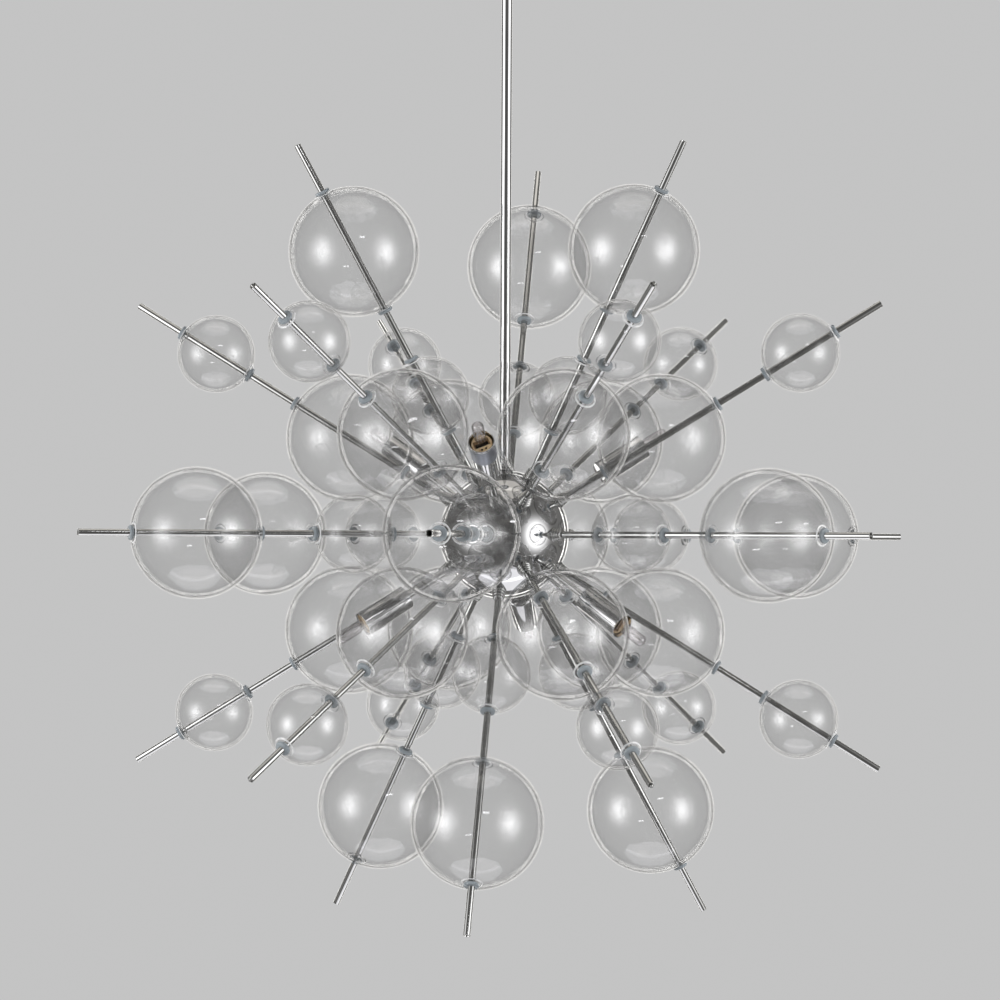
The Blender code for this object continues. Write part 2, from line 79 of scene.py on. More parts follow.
# Root nuts
NUT_START = 74.55 * MM
NUT_END = 87.3 * MM
NUT_RADIUS = 8.7 * MM
NUT_TOP_RADIUS = 6.6 * MM
NUT_RINGS = 4
NUT_SIDES = 48

# One ring of a turned nut and the groove after it, as shares of the pitch
RING_SOFTNESS = 0.14
RING_END = 0.62
GROOVE_DEPTH = 0.42
GROOVE_START = 0.68
GROOVE_END = 0.95

# Stoppers, and where the four on a rod start with its small or its large globe innermost
STOPPER_RADIUS = 8.7 * MM
STOPPER_THICKNESS = 4 * MM
STOPPER_ROUNDING = 1.7 * MM
STOPPER_BORE = 4.03 * MM
STOPPER_SIDES = 40
SMALL_INSIDE_STARTS = (135.356 * MM, 230.157 * MM, 294.157 * MM, 448.284 * MM)
LARGE_INSIDE_STARTS = (135.356 * MM, 289.483 * MM, 353.483 * MM, 448.284 * MM)
FIT_GAP = 0.3 * MM

# Globes
LARGE_GLOBE_RADIUS = 75 * MM
LARGE_GLOBE_BANDS = 24
LARGE_GLOBE_SIDES = 72
SMALL_GLOBE_RADIUS = 45.5 * MM
SMALL_GLOBE_BANDS = 20
SMALL_GLOBE_SIDES = 56
GLASS_WALL = 1.5 * MM
GLASS_HOLE_RADIUS = 6 * MM

# Bead round a globe's hole; its flank is offsets from its radius, at shares of its height
LIP_RADIUS = 11.6 * MM
LIP_FOOT_RADIUS = 13 * MM
LIP_WIDTH = 1.3 * MM
LIP_FLANK = ((0.55 * MM, 0.12), (0.1 * MM, 0.45), (-0.25 * MM, 0.85))
LIP_CROWN_INSET = 0.8 * MM
LIP_DISH = 0.2 * MM
# How far the bead's painted highlight reaches below its foot and outside it
LIP_HIGHLIGHT_BELOW_FOOT = 0.3 * MM
LIP_HIGHLIGHT_OUTSIDE = 0.6 * MM

# Lamps, as distances from the ball's centre along the lamp's axis
CUP_RADIUS = 15 * MM
CUP_WALL = 1.2 * MM
CUP_BASE = 140 * MM
CUP_BASE_THICKNESS = 3 * MM
CUP_FOOT_INSET = 1.6 * MM
CUP_FOOT_HEIGHT = 1.4 * MM
CUP_MOUTH = 202 * MM
CUP_BORE = ROD_RADIUS + 0.05 * MM
CUP_ROUNDING = 0.5 * MM
CUP_SIDES = 64
STEM_END = CUP_BASE + 6 * MM
SLEEVE_LENGTH = 24 * MM
SLEEVE_FROM_MOUTH = 3 * MM
SLEEVE_WALL = 0.15 * MM
SLEEVED_LAMP = "upper_3"

# Turn of each lamp about its own axis, in degrees
LAMP_TWISTS = (20, -35, 70, 40, 116, -11)

# Sockets: a disc with a raised edge, a step and a slot for the bulb's foot, and two holes beside them
CERAMIC_RADIUS = 12 * MM
CERAMIC_FACE = 197.5 * MM
CERAMIC_LENGTH = 28 * MM
CERAMIC_RIM_WIDTH = 1.5 * MM
CERAMIC_RIM_HEIGHT = 1.3 * MM
CERAMIC_RIM_LEAN = 0.3 * MM
CERAMIC_ROUNDING = 0.5 * MM
CERAMIC_SIDES = 48
SLOT_STEP_SIZE = (18.5 * MM, 9.5 * MM, 3 * MM)
SLOT_STEP_OFFSET = 1.2 * MM
SLOT_STEP_ROUNDING = 0.8 * MM
SLOT_SIZE = (15 * MM, 5.2 * MM, 14 * MM)
SLOT_ROUNDING = 0.6 * MM
SOCKET_HOLE_RADIUS = 1.3 * MM
SOCKET_HOLE_DEPTH = 4 * MM
SOCKET_HOLE_PLACE = (2.5 * MM, -7.2 * MM)
SOCKET_HOLE_SIDES = 16
CUTTER_REACH = 1 * MM

# Bulbs: the outside, with a bowl at the base, a dome and a sealed pip at the tip, and the hollow
BULB_RADIUS = 7 * MM
BULB_WALL = 0.8 * MM
BULB_BASE = CERAMIC_FACE + 8 * MM
BULB_TIP = 239 * MM
BULB_SIDES = 40
BULB_FOOT_SIZE = (12.5 * MM, 3.6 * MM, 15 * MM)
BULB_FOOT_MIDDLE = CERAMIC_FACE + 1.5 * MM
BULB_FOOT_ROUNDING = 0.8 * MM
BULB_BOWL_HEIGHT = 4 * MM
BULB_BOWL_STEPS = 6
BULB_DOME_START = BULB_TIP - 7.2 * MM
BULB_DOME_HEIGHT = 6 * MM
BULB_DOME_STEPS = 9
BULB_PIP_RADIUS = 0.9 * MM
BULB_PIP_TOP_RADIUS = 0.75 * MM
BULB_PIP_ROUNDING = 0.3 * MM
HOLLOW_START = BULB_BASE + 1 * MM
HOLLOW_BOWL_HEIGHT = 3.2 * MM
HOLLOW_BOWL_STEPS = 7
HOLLOW_DOME_HEIGHT = 5.2 * MM
HOLLOW_DOME_STEPS = 8

# Wires in a bulb: two leads, a coil on each, and a support whose hook is across and up from the coils' top
WIRES_START = CERAMIC_FACE + 2 * MM
LEAD_RADIUS = 0.35 * MM
LEAD_ACROSS = 3.4 * MM
LEAD_HEIGHT = 5 * MM
LEAD_TOP_ACROSS = 3.2 * MM
COIL_TOP = BULB_TIP - 8 * MM
COIL_LEANS_IN = 2.4 * MM
COIL_RADIUS = 0.95 * MM
COIL_WIRE_RADIUS = 0.17 * MM
COIL_TURNS = 13
COIL_STEPS_PER_TURN = 8
COIL_WIRE_SIDES = 6
SUPPORT_RADIUS = 0.25 * MM
SUPPORT_HOOK = ((0, -1 * MM), (0.8 * MM, 0.6 * MM), (-0.8 * MM, 1.2 * MM))
WIRE_SIDES = 8

# Downrod and its collar, measured from the pivot of the swivel
PIVOT_Z = -28.443 * MM
DOWNROD_RADIUS = 6.35 * MM
DOWNROD_TOP = -13.543 * MM
DOWNROD_INTO_BALL = 0.4 * MM
DOWNROD_SIDES = 64
COLLAR_LENGTH = 14 * MM
COLLAR_INTO_BALL = 0.7 * MM
COLLAR_RADIUS = 10.55 * MM
COLLAR_TOP_RADIUS = 8.05 * MM
COLLAR_RINGS = 4

# Fork at the top of the downrod, measured from the pivot
FORK_ROUNDING = 0.5 * MM
FORK_BRIDGE_SIZE = (12.7 * MM, 19.4 * MM, 3 * MM)
FORK_BRIDGE_HEIGHT = -12.04 * MM
FORK_EAR_SIZE = (10 * MM, 3 * MM, 17 * MM)
FORK_EAR_ACROSS = 8.2 * MM
FORK_EAR_HEIGHT = -3.6 * MM
PIN_BORE_RADIUS = 2.75 * MM
PIN_BORE_REACH = 12 * MM
PIN_BORE_SIDES = 24

# Canopy; the rolled rim and edge are offsets from its radius and top, and from its opening and depth
CANOPY_RADIUS = 70 * MM
CANOPY_TOP = -0.5 * MM
CANOPY_DEPTH = 46 * MM
CANOPY_SKIRT = 16 * MM
CANOPY_WALL = 1.2 * MM
CANOPY_OPENING = 18.93 * MM
CANOPY_RIM_ROLL = ((-0.4 * MM, 0), (0, -0.4 * MM), (0, -2 * MM), (-0.5 * MM, -2.6 * MM))
CANOPY_RIM_PROUD = 0.5 * MM
CANOPY_EDGE_ROLL = ((0.5 * MM, 0.2 * MM), (0, 0.6 * MM))
CANOPY_EDGE_WIDTH = 1.5 * MM
CANOPY_EDGE_INSIDE = 0.3 * MM
CANOPY_BANDS = 24
CANOPY_SIDES = 128

# Side screws: radius, height and whether the corner is rounded, from the inner end to the head
SCREW_OUTLINE = (
    (0, 0, False),
    (2 * MM, 0, False),
    (2 * MM, 4 * MM, False),
    (3.6 * MM, 4 * MM, True),
    (3.6 * MM, 6.2 * MM, True),
    (0, 6.6 * MM, False),
)
SCREW_ROUNDING = 0.7 * MM
SCREW_SIDES = 32
SCREW_ACROSS = CANOPY_RADIUS - 4.6 * MM
SCREW_HEIGHT = -9 * MM

# Rounded edges of the solids that stay
CARRIED_NODES = ("ceiling_crossbar", "swivel_yoke", "swivel_cross")
CARRIED_EDGE = 0.3 * MM
CARRIED_EDGE_SEGMENTS = 2
CARRIED_EDGE_ANGLE = math.radians(35)

# Tone of the world where the camera sees it, and its strength as a light
WORLD_SEEN = 0.55
WORLD_LIGHTING = 0.45

# Tone of the room in reflections, from the camera's side to the backdrop, as shares of its brightest line
ROOM_BRIGHTEST = 4.0
ROOM_TONE_SHARES = (
    (0.0, 0.030),
    (0.30, 0.042),
    (0.70, 0.058),
    (0.872, 0.052),
    (0.882, 1.0),
    (0.897, 1.0),
    (0.907, 0.052),
    (0.955, 0.052),
    (0.972, 0.45),
    (1.0, 0.30),
)
ROOM_COLOUR = (1.0, 0.985, 0.96)

# Round soft lights to the left and right of the camera: degrees from its side, sharpness and brightness
SIDE_LIGHT_AZIMUTH = 60
SIDE_LIGHT_SHARPNESS = 19
SIDE_LIGHT_COLOUR = (4.6, 4.6, 4.65)

# Short strip beside the camera: azimuth and elevation in degrees, half its width and height, how far its
# edge fades as a multiple of that, and brightness
STRIP_LIGHT_PLACE = (17, 23)
STRIP_LIGHT_HALF_SIZE = (0.08, 0.022)
STRIP_LIGHT_FADE = 1.3
STRIP_LIGHT_COLOUR = (7.0, 7.0, 7.2)

# Eight-sided lights above and below: degrees from their middle to their edge, brightness, and the tube
# across them; a fade is where an edge ends, as a multiple of where it starts
LIGHT_ABOVE_EDGE = 23
LIGHT_ABOVE_COLOUR = (0.58, 0.555, 0.52)
LIGHT_BELOW_EDGE = 30
LIGHT_BELOW_COLOUR = (1.12, 1.12, 1.18)
EIGHT_SIDED_LIGHT_FADE = 1.06
EIGHT_SIDED_LIGHT_TUBE = 0.05
EIGHT_SIDED_LIGHT_TUBE_FADE = 1.8
EIGHT_SIDED_LIGHT_TUBE_GLOW = 0.9

# Least height of a direction, so that nothing is divided by zero
LEAST_HEIGHT = 0.001

# Softboxes: name, azimuth from the camera's side, height of the middle, size across and up, power
SOFTBOX_DISTANCE = 3.0
SOFTBOXES = (
    ("softbox_left", -60, -0.6, (1.3, 1.8), 55),
    ("softbox_right", 60, -0.6, (1.3, 1.8), 55),
    ("softbox_back_left", -150, -0.6, (0.8, 1.8), 22),
    ("softbox_back_right", 150, -0.6, (0.8, 1.8), 22),
)

# Floor: its height, radius and sides, where it starts to fade, its tones, their noise and its roughness
FLOOR_HEIGHT = -3.2
FLOOR_RADIUS = 9.0
FLOOR_SIDES = 96
FLOOR_FADES_FROM = 4.5
FLOOR_TONES = (0.56, 0.62)
FLOOR_NOISE_SCALE = 0.6
FLOOR_ROUGHNESS = 0.8

# Camera, from a fit of the photograph
CAMERA_DISTANCE = 4899.2 * MM
CAMERA_BELOW_BALL = 9 * MM
CAMERA_ROLL = math.radians(0.3)
LENS = 151.74
SENSOR_WIDTH = 36
SHIFT = (-0.0042, 0.0423)
VIEW_REACH = 100

# Bounces of light; a ray to the back crosses many thin glass walls
MAX_BOUNCES = 12
CLEAR_BOUNCES = 96
GLOSSY_BOUNCES = 6
TRANSMISSION_BOUNCES = 8


# Materials


def material(name):
    made = bpy.data.materials.new(name)
    made.use_nodes = True
    return made, made.node_tree


def noise(tree, scale, detail=2.0, distortion=0.0):
    """Noise in the piece's own space, in cycles per metre."""
    place = tree.nodes.new("ShaderNodeTexCoord")
    made = tree.nodes.new("ShaderNodeTexNoise")
    made.inputs["Scale"].default_value = scale
    made.inputs["Detail"].default_value = detail
    made.inputs["Distortion"].default_value = distortion
    tree.links.new(place.outputs["Object"], made.inputs["Vector"])
    return made.outputs["Fac"]


def spread(tree, value, low, high, start=0.3, end=0.7):
    """Maps a value onto a range."""
    made = tree.nodes.new("ShaderNodeMapRange")
    made.inputs["From Min"].default_value = start
    made.inputs["From Max"].default_value = end
    made.inputs["To Min"].default_value = low
    made.inputs["To Max"].default_value = high
    tree.links.new(value, made.inputs["Value"])
    return made.outputs["Result"]


def ramp(tree, value, stops):
    """Colours along a value; each stop is a position and a grey or a colour."""
    made = tree.nodes.new("ShaderNodeValToRGB")
    elements = made.color_ramp.elements
    while len(elements) < len(stops):
        elements.new(0.5)
    for element, (position, colour) in zip(elements, stops):
        element.position = position
        element.color = (*colour, 1.0) if isinstance(colour, tuple) else (colour, colour, colour, 1.0)
    tree.links.new(value, made.inputs["Fac"])
    return made.outputs["Color"]


def maths(tree, operation, *values):
    """A Math node; each value is a socket or a number."""
    made = tree.nodes.new("ShaderNodeMath")
    made.operation = operation
    for index, value in enumerate(values):
        if isinstance(value, (int, float)):
            made.inputs[index].default_value = value
        else:
            tree.links.new(value, made.inputs[index])
    return made.outputs["Value"]


def bump(tree, height, strength, distance):
    made = tree.nodes.new("ShaderNodeBump")
    made.inputs["Strength"].default_value = strength
    made.inputs["Distance"].default_value = distance
    tree.links.new(height, made.inputs["Height"])
    return made.outputs["Normal"]


def metal(name, dark, light, smooth, rough, scale, distortion=0.0):
    """Plated metal whose tone and polish vary a little from place to place."""
    made, tree = material(name)
    shader = tree.nodes["Principled BSDF"]
    shader.inputs["Metallic"].default_value = 1.0
    cloud = noise(tree, scale, detail=3.0, distortion=distortion)
    fine = noise(tree, scale * 12)
    tree.links.new(ramp(tree, cloud, ((0.3, dark), (0.7, light))), shader.inputs["Base Color"])
    tree.links.new(spread(tree, fine, smooth, rough), shader.inputs["Roughness"])
    return made


def glass(name, facing_stops, gloss, edge_gloss, waviness):
    """Thin clear glass: light goes straight through, and on edge it is darker and mirrors more."""
    made, tree = material(name)
    tree.nodes.remove(tree.nodes["Principled BSDF"])
    out = tree.nodes["Material Output"]
    clear = tree.nodes.new("ShaderNodeBsdfTransparent")
    mirror = tree.nodes.new("ShaderNodeBsdfGlossy")
    mirror.inputs["Roughness"].default_value = 0.0
    weight = tree.nodes.new("ShaderNodeLayerWeight")
    weight.inputs["Blend"].default_value = 0.5
    tree.links.new(ramp(tree, weight.outputs["Facing"], facing_stops), clear.inputs["Color"])
    grazing = maths(tree, "POWER", weight.outputs["Facing"], GRAZING_SHARPNESS)
    share = spread(tree, grazing, gloss, edge_gloss, start=0.0, end=1.0)
    waves = noise(tree, 22.0, detail=1.0, distortion=0.6)
    tree.links.new(bump(tree, waves, waviness, distance=0.01), mirror.inputs["Normal"])
    mix = tree.nodes.new("ShaderNodeMixShader")
    tree.links.new(share, mix.inputs["Fac"])
    tree.links.new(clear.outputs["BSDF"], mix.inputs[1])
    tree.links.new(mirror.outputs["BSDF"], mix.inputs[2])
    tree.links.new(mix.outputs["Shader"], out.inputs["Surface"])
    return made


def lip_glass_highlight():
    """Glass bead at a globe's hole, a little uneven; its whitish, milky tone is painted highlight for the
    glints on the thick glass.
    """
    made, tree = material("lip_glass_highlight")
    shader = tree.nodes["Principled BSDF"]
    cloud = noise(tree, 260.0, detail=3.0, distortion=0.8)
    # Whitish tones: painted highlight on the clear glass bead
    colours = ramp(tree, cloud, ((0.35, (0.62, 0.63, 0.65)), (0.6, 0.92)))
    tree.links.new(colours, shader.inputs["Base Color"])
    tree.links.new(spread(tree, noise(tree, 900.0), 0.06, 0.2), shader.inputs["Roughness"])
    shader.inputs["Transmission Weight"].default_value = 0.3
    shader.inputs["IOR"].default_value = 1.5
    tree.links.new(bump(tree, cloud, strength=0.5, distance=0.0006), shader.inputs["Normal"])
    return made


def silicone():
    """Translucent grey rubber."""
    made, tree = material("silicone")
    shader = tree.nodes["Principled BSDF"]
    cloud = noise(tree, 180.0)
    colours = ramp(tree, cloud, ((0.3, (0.37, 0.415, 0.45)), (0.7, (0.50, 0.545, 0.58))))
    tree.links.new(colours, shader.inputs["Base Color"])
    tree.links.new(spread(tree, noise(tree, 900.0), 0.28, 0.42), shader.inputs["Roughness"])
    shader.inputs["Transmission Weight"].default_value = 0.4
    shader.inputs["IOR"].default_value = 1.41
    return made


def ceramic(name, dark, middle, light):
    """Fired steatite with a brown, slightly blotchy glaze; with darker colours it makes a copy with painted
    shade.
    """
    made, tree = material(name)
    shader = tree.nodes["Principled BSDF"]
    cloud = noise(tree, 260.0, detail=4.0, distortion=0.4)
    colours = ramp(tree, cloud, ((0.30, dark), (0.5, middle), (0.7, light)))
    tree.links.new(colours, shader.inputs["Base Color"])
    tree.links.new(spread(tree, noise(tree, 1500.0), 0.35, 0.6), shader.inputs["Roughness"])
    grain = bump(tree, noise(tree, 2500.0, detail=3.0), strength=0.25, distance=0.0004)
    tree.links.new(grain, shader.inputs["Normal"])
    return made


def painted_cavity_shade():
    """Painted shade: near black inside the slots and holes, where hardly any light gets in."""
    made, tree = material("painted_cavity_shade")
    shader = tree.nodes["Principled BSDF"]
    cloud = noise(tree, 700.0)
    tree.links.new(ramp(tree, cloud, ((0.3, 0.008), (0.7, 0.02))), shader.inputs["Base Color"])
    tree.links.new(spread(tree, cloud, 0.5, 0.8), shader.inputs["Roughness"])
    return made


# How much light the glass lets through, from where it faces the eye to where it is seen on edge
GLOBE_TONES = ((0.0, 0.985), (0.75, 0.94), (0.93, 0.72), (1.0, 0.38))
BULB_TONES = ((0.0, (0.985, 0.98, 0.983)), (0.6, (0.93, 0.92, 0.926)), (1.0, 0.40))

# How sharply the glass starts to mirror more where it is seen on edge
GRAZING_SHARPNESS = 6.0

CHROME = metal("polished_chrome", 0.54, 0.62, 0.02, 0.055, 14.0)
ROD_CHROME = metal("rod_chrome", (0.50, 0.50, 0.49), (0.58, 0.58, 0.57), 0.07, 0.13, 25.0)
LAMP_CHROME = metal("lamp_chrome", 0.55, 0.64, 0.02, 0.06, 40.0)
SATIN_SLEEVE = metal("satin_sleeve", (0.38, 0.40, 0.45), (0.50, 0.52, 0.57), 0.34, 0.46, 60.0)
ZINC = metal("zinc_plated_steel", (0.46, 0.47, 0.48), (0.64, 0.65, 0.66), 0.28, 0.45, 120.0, 0.8)
WIRE = metal("lamp_wire", (0.66, 0.66, 0.66), (0.86, 0.84, 0.80), 0.2, 0.35, 400.0)
GLASS = glass("clear_glass", GLOBE_TONES, gloss=0.045, edge_gloss=0.85, waviness=0.11)
# Glass bead whose whitish tone is painted highlight
LIP_GLASS_HIGHLIGHT = lip_glass_highlight()
BULB_GLASS = glass("bulb_glass", BULB_TONES, gloss=0.08, edge_gloss=0.85, waviness=0.3)
SILICONE = silicone()
CERAMIC = ceramic("ceramic", (0.50, 0.34, 0.17), (0.66, 0.49, 0.29), (0.78, 0.64, 0.44))
# Darker copy of the ceramic: painted shade on the floor of the slot's step
CERAMIC_PAINTED_SHADE = ceramic("ceramic_painted_shade", (0.10, 0.055, 0.02), (0.19, 0.11, 0.05), (0.30, 0.19, 0.09))
# Near-black painted shade for the inside of the slot and the small holes
CAVITY_SHADE = painted_cavity_shade()


# Shapes


def turned(outline, sides, closed=False):
    """An outline of (radius, height) points turned about Z, as a bmesh."""
    work = bmesh.new()
    corners = [work.verts.new((radius, 0, height)) for radius, height in outline]
    following = corners[1:] + corners[:1] if closed else corners[1:]
    edges = [work.edges.new(pair) for pair in zip(corners, following)]
    bmesh.ops.spin(
        work,
        geom=corners + edges,
        cent=(0, 0, 0),
        axis=(0, 0, 1),
        angle=math.tau,
        steps=sides,
        use_merge=True,
    )
    bmesh.ops.remove_doubles(work, verts=work.verts, dist=MERGE_DISTANCE)
    bmesh.ops.recalc_face_normals(work, faces=work.faces)
    return work


def template(name, work, *materials, sharp=50, rim=None):
    """A mesh to place copies of; rim(face centre) picks the faces that take the second material."""
    if rim:
        for face in work.faces:
            face.material_index = int(rim(face.calc_center_median()))
    mesh = bpy.data.meshes.new(name)
    work.to_mesh(mesh)
    work.free()
    for item in materials:
        mesh.materials.append(item)
    mesh.shade_smooth()
    mesh.set_sharp_from_angle(angle=math.radians(sharp))
    return mesh


def piece(name, mesh, matrix, body, slot, *nodes):
    """Places a copy of a mesh as a piece of the object."""
    copy = mesh.copy()
    copy.name = name
    copy.transform(matrix)
    made = bpy.data.objects.new(name, copy)
    bpy.context.collection.objects.link(made)
    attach(made, body)
    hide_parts(*nodes)


def along(azimuth, elevation):
    """Turns +Z to a direction from the ball's centre."""
    swing = Matrix.Rotation(math.radians(azimuth), 4, "Z")
    lean = Matrix.Rotation(math.radians(90 - elevation), 4, "Y")
    return Matrix.Translation(BALL_CENTRE) @ swing @ lean


def shifted(distance):
    return Matrix.Translation((0, 0, distance))


def arc(radius, start, end, steps):
    """Points (radius, height) on a circle about the origin, between two angles from the axis."""
    angles = [start + (end - start) * step / steps for step in range(steps + 1)]
    return [(radius * math.sin(angle), radius * math.cos(angle)) for angle in angles]


def bowl(start, radius, height, steps):
    """Section of a rounded bottom, from the axis outwards."""
    angles = [math.pi / 2 * step / steps for step in range(steps + 1)]
    return [(radius * math.sin(angle), start + height * (1 - math.cos(angle))) for angle in angles]


def dome(start, radius, height, steps, narrowest=0.0):
    """Section of a rounded top, from just above its foot to the axis or to its narrowest radius."""
    points = []
    for step in range(1, steps + 1):
        angle = math.pi / 2 * step / steps
        points.append((max(radius * math.cos(angle), narrowest), start + height * math.sin(angle)))
    return points


def rounded(points, size, steps=3):
    """Rounds the corners of a closed outline that are marked with True, by less than half a side."""
    made = []
    count = len(points)
    for index, (radius, height, soft) in enumerate(points):
        here = Vector((radius, height))
        if not soft:
            made.append(tuple(here))
            continue
        before = Vector(points[index - 1][:2])
        after = Vector(points[(index + 1) % count][:2])
        reach = min(size, (before - here).length / 2.2, (after - here).length / 2.2)
        start = here + (before - here).normalized() * reach
        end = here + (after - here).normalized() * reach
        for step in range(steps + 1):
            part = step / steps
            first = start.lerp(here, part)
            second = here.lerp(end, part)
            made.append(tuple(first.lerp(second, part)))
    return made


def ring_stack(start, end, wide, narrow, rings):
    """Outer outline of a turned nut: rings that get smaller, with a groove after each."""
    pitch = (end - start) / rings
    points = []
    for ring in range(rings):
        radius = wide + (narrow - wide) * ring / (rings - 1)
        low = start + pitch * ring
        soft = RING_SOFTNESS * pitch
        groove = radius - GROOVE_DEPTH * pitch
        points += [
            (radius - soft, low),
            (radius, low + soft),
            (radius, low + RING_END * pitch - soft),
            (radius - soft, low + RING_END * pitch),
            (groove, low + GROOVE_START * pitch),
            (groove, low + GROOVE_END * pitch),
        ]
    return points


def tube(points, radius, sides):
    """A round wire along a path, with closed ends."""
    work = bmesh.new()
    rows = []
    side = Vector((1, 0, 0))
    for index, point in enumerate(points):
        ahead = Vector(points[min(index + 1, len(points) - 1)]) - Vector(points[max(index - 1, 0)])
        ahead.normalize()
        side = side - ahead * side.dot(ahead)
        if side.length < 1e-6:
            side = ahead.orthogonal()
        side.normalize()
        other = ahead.cross(side)
        row = []
        for step in range(sides):
            angle = math.tau * step / sides
            outwards = side * math.cos(angle) + other * math.sin(angle)
            row.append(work.verts.new(Vector(point) + outwards * radius))
        rows.append(row)
    for first, second in zip(rows, rows[1:]):
        for step in range(sides):
            after = (step + 1) % sides
            work.faces.new((first[step], first[after], second[after], second[step]))
    work.faces.new(rows[0][::-1])
    work.faces.new(rows[-1])
    bmesh.ops.recalc_face_normals(work, faces=work.faces)
    return work


def block(size, centre, soft):
    """A box with bevelled edges, as a bmesh."""
    work = bmesh.new()
    bmesh.ops.create_cube(work, size=1.0)
    bmesh.ops.scale(work, vec=size, verts=work.verts)
    bmesh.ops.translate(work, vec=centre, verts=work.verts)
    bmesh.ops.bevel(work, geom=work.edges[:], offset=soft, segments=3, profile=0.5, affect="EDGES")
    return work


def merged(*works):
    """Several bmeshes as one."""
    whole = bmesh.new()
    for work in works:
        part = bpy.data.meshes.new("part")
        work.to_mesh(part)
        work.free()
        whole.from_mesh(part)
        bpy.data.meshes.remove(part)
    return whole


def carved(mesh, *cutters):
    """Cuts shapes out of a mesh; each cutter is a bmesh and the material that it leaves on the cut."""
    target = bpy.data.objects.new("carved", mesh)
    bpy.context.collection.objects.link(target)
    for work, finish in cutters:
        tool_mesh = bpy.data.meshes.new("tool")
        work.to_mesh(tool_mesh)
        work.free()
        tool_mesh.materials.append(finish)
        tool = bpy.data.objects.new("tool", tool_mesh)
        bpy.context.collection.objects.link(tool)
        cut = target.modifiers.new("cut", "BOOLEAN")
        cut.operation = "DIFFERENCE"
        cut.solver = "EXACT"
        cut.object = tool
        cut.material_mode = "TRANSFER"
        bpy.context.view_layer.update()
        ready = target.evaluated_get(bpy.context.evaluated_depsgraph_get())
        result = bpy.data.meshes.new_from_object(ready)
        target.modifiers.clear()
        target.data = result
        bpy.data.objects.remove(tool, do_unlink=True)
    result = target.data
    bpy.data.objects.remove(target, do_unlink=True)
    result.shade_smooth()
    result.set_sharp_from_angle(angle=math.radians(40))
    return result


# Rods


def rod_mesh():
    """A tube with a plug inside, open at the tip with rounded edges."""
    outline = [
        (0, ROD_START),
        (ROD_RADIUS, ROD_START),
        (ROD_RADIUS, ROD_TIP - EDGE),
        (ROD_RADIUS - EDGE / 3, ROD_TIP - EDGE / 3),
        (ROD_RADIUS - EDGE, ROD_TIP),
        (ROD_BORE + EDGE, ROD_TIP),
        (ROD_BORE, ROD_TIP - EDGE),
        (ROD_BORE, ROD_TIP - ROD_BORE_DEPTH),
        (0, ROD_TIP - ROD_BORE_DEPTH),
    ]
    return template("rod", turned(outline, ROD_SIDES), ROD_CHROME)


def nut_mesh():
    """Root nut of a rod or a lamp: a small stack of rings."""
    stack = ring_stack(NUT_START, NUT_END, NUT_RADIUS, NUT_TOP_RADIUS, NUT_RINGS)
    outline = [(ROD_RADIUS, NUT_START)] + stack + [(ROD_RADIUS, NUT_END)]
    return template("nut", turned(outline, NUT_SIDES, closed=True), ROD_CHROME)


def stopper_mesh():
    """Washer with rounded outer edges."""
    corners = [
        (STOPPER_BORE, 0, False),
        (STOPPER_RADIUS, 0, True),
        (STOPPER_RADIUS, STOPPER_THICKNESS, True),
        (STOPPER_BORE, STOPPER_THICKNESS, False),
    ]
    outline = rounded(corners, STOPPER_ROUNDING, 5)
    return template("stopper", turned(outline, STOPPER_SIDES, closed=True), SILICONE)


def seat_height(radius):
    """Distance from a globe's centre to the rim of the hole at its pole."""
    return math.sqrt(radius**2 - GLASS_HOLE_RADIUS**2)


def globe_half(radius, bands):
    """Section of a globe's upper half, from the outer equator over the lip to the inner equator."""
    seat = seat_height(radius)
    inside = radius - GLASS_WALL
    hole_angle = math.asin((GLASS_HOLE_RADIUS + EDGE) / inside)
    outer = arc(radius, math.pi / 2, math.asin(LIP_FOOT_RADIUS / radius), bands)
    foot = outer[-1][1]
    flank = [(LIP_RADIUS + offset, foot + share * (seat - foot)) for offset, share in LIP_FLANK]
    crown = [
        (LIP_RADIUS - LIP_CROWN_INSET, seat),
        (LIP_RADIUS - LIP_WIDTH, seat - LIP_DISH),
        (GLASS_HOLE_RADIUS + EDGE, seat),
        (GLASS_HOLE_RADIUS, seat - EDGE),
        (GLASS_HOLE_RADIUS, inside * math.cos(hole_angle) + EDGE),
    ]
    return outer + flank + crown + arc(inside, hole_angle, math.pi / 2, bands)


def globe_mesh(name, radius, bands, sides):
    """A thin hollow globe, open at both poles, with a bead round each hole."""
    half = globe_half(radius, bands)
    other = [(across, -height) for across, height in reversed(half)]
    outline = half[:-1] + other[:-1]
    lowest = math.sqrt(radius**2 - (LIP_FOOT_RADIUS + LIP_HIGHLIGHT_BELOW_FOOT) ** 2)

    # Faces that take the bead's glass with its painted highlight
    def on_lip(point):
        across = math.hypot(point.x, point.y)
        in_band = LIP_RADIUS - LIP_WIDTH < across < LIP_RADIUS + LIP_HIGHLIGHT_OUTSIDE
        return abs(point.z) > lowest and in_band

    return template(name, turned(outline, sides, closed=True), GLASS, LIP_GLASS_HIGHLIGHT, sharp=80, rim=on_lip)


def globe_middle(stopper_start, radius):
    """Distance of a globe's centre from the ball's centre."""
    return stopper_start + STOPPER_THICKNESS + FIT_GAP + seat_height(radius)


def rings():
    """Each ring of rods: its name, elevation, azimuths, and if its small globes are the inner ones."""
    level = [FIRST_AZIMUTH + AZIMUTH_STEP * index for index in range(RODS_PER_RING)]
    between = [azimuth + AZIMUTH_STEP / 2 for azimuth in level]
    return [
        ("top", STEEP_ELEVATION, level[1::2], True),
        ("upper", UPPER_ELEVATION, between, False),
        ("level", 0, level, True),
        ("lower", -UPPER_ELEVATION, between, False),
        ("bottom", -STEEP_ELEVATION, level[0::2], True),
    ]


